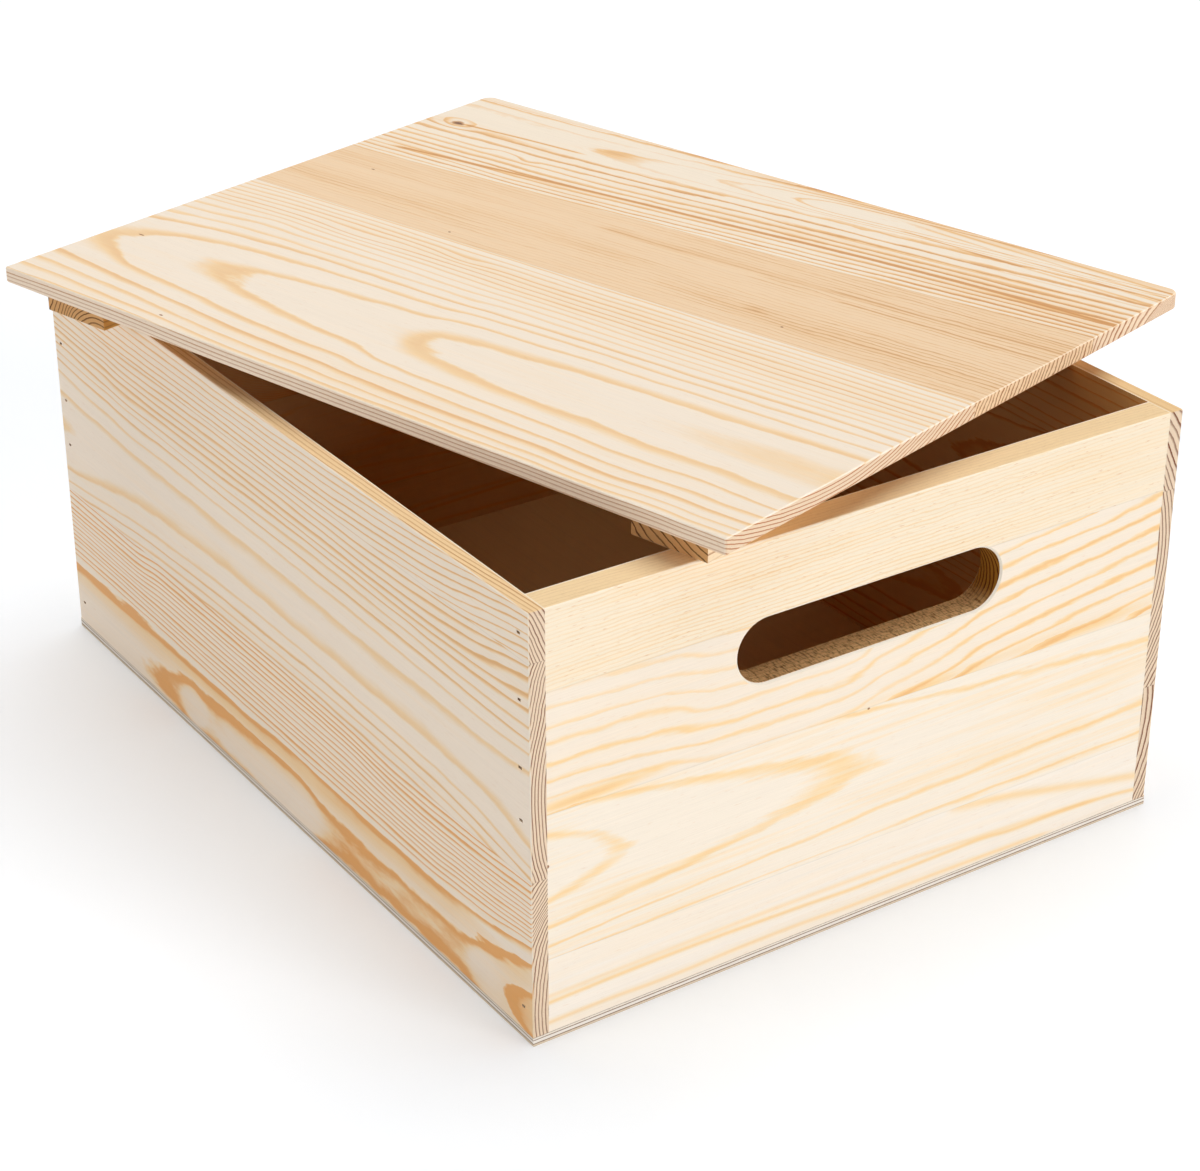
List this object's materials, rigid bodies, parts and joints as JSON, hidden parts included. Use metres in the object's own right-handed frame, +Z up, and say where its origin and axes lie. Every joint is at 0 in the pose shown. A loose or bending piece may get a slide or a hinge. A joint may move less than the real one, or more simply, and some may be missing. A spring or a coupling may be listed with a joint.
{
  "type": "wooden storage box",
  "caption": "Pine storage box with hand slots in its ends, a plywood bottom and a loose battened lid that lies askew on the rim, for keeping papers and small things.",
  "frame": {"origin": "middle of the box's underside, on the surface that it stands on", "axes": "+X along the box towards the front end, +Y across it towards the right side, +Z up"},
  "size_m": [0.4605, 0.3975, 0.204],
  "materials": {
    "pine_wall": "planed and sanded, unvarnished",
    "pine_lid": "planed and sanded, unvarnished",
    "ply_face": "sanded veneer",
    "ply_core": "raw cross-grain edge",
    "brad_steel": "bare wire"
  },
  "bodies": {
    "box": {"bottom_lower_ply": "ply_face", "bottom_core_ply": "ply_core", "bottom_upper_ply": "ply_face", "left_side_lower_stave": "pine_wall", "left_side_middle_stave": "pine_wall", "left_side_upper_stave": "pine_wall", "right_side_lower_stave": "pine_wall", "right_side_middle_stave": "pine_wall", "right_side_upper_stave": "pine_wall", "front_end_base_stave": "pine_wall", "front_end_broad_stave": "pine_wall", "front_end_slot_stave": "pine_wall", "front_end_rail_stave": "pine_wall", "back_end_base_stave": "pine_wall", "back_end_broad_stave": "pine_wall", "back_end_slot_stave": "pine_wall", "back_end_rail_stave": "pine_wall", "front_left_brads": "brad_steel", "front_right_brads": "brad_steel", "back_left_brads": "brad_steel", "back_right_brads": "brad_steel"},
    "lid": {"lid_left_plank": "pine_lid", "lid_middle_plank": "pine_lid", "lid_right_plank": "pine_lid", "lid_front_batten": "pine_lid", "lid_back_batten": "pine_lid"}
  },
  "joints": [
    {"name": "lid_lift", "type": "slide", "parent": "box", "child": "lid", "axis": [0, 0, 1], "range_m": [0, 0.25]}
  ]
}
